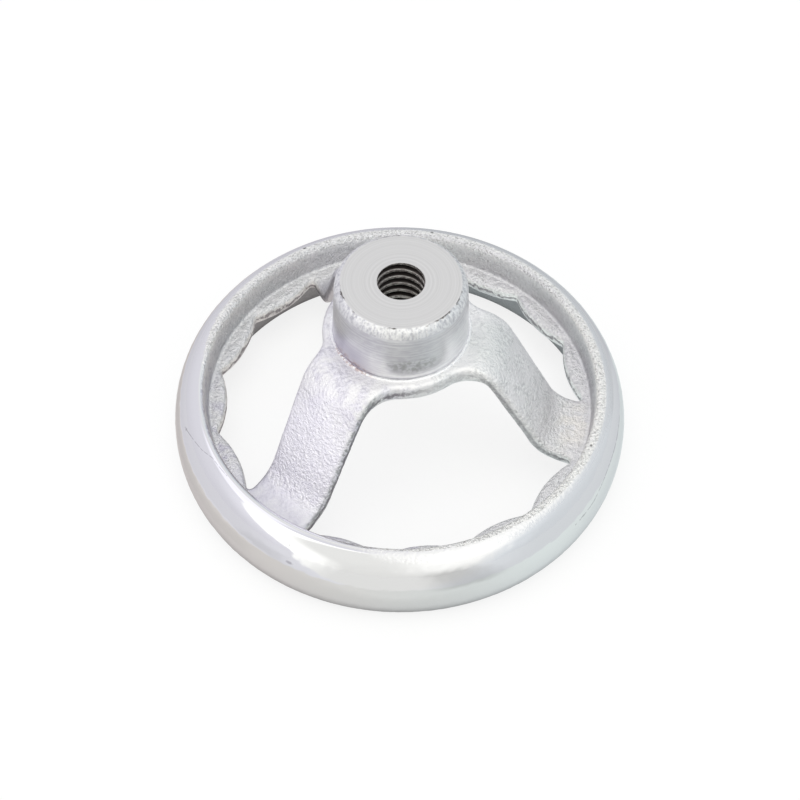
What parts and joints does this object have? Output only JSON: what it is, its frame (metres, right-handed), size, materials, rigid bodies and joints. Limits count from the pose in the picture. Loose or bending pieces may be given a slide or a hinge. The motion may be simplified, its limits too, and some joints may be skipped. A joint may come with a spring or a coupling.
{
  "type": "dished machine handwheel",
  "caption": "Dished cast iron machine handwheel with spokes, finger lobes, a polished convex rim and a tapped hub",
  "frame": {"origin": "centre of the plane of the rim's front face, on which the wheel lies", "axes": "+Z along the bore, from the front face to the machined face of the hub; one spoke points along +Y"},
  "size_m": [0.1, 0.1, 0.0515],
  "materials": {
    "plated_iron": "bright plated: polished rim, rough cast web, turned hub"
  },
  "bodies": {
    "root": {"handwheel": "plated_iron"}
  },
  "joints": []
}
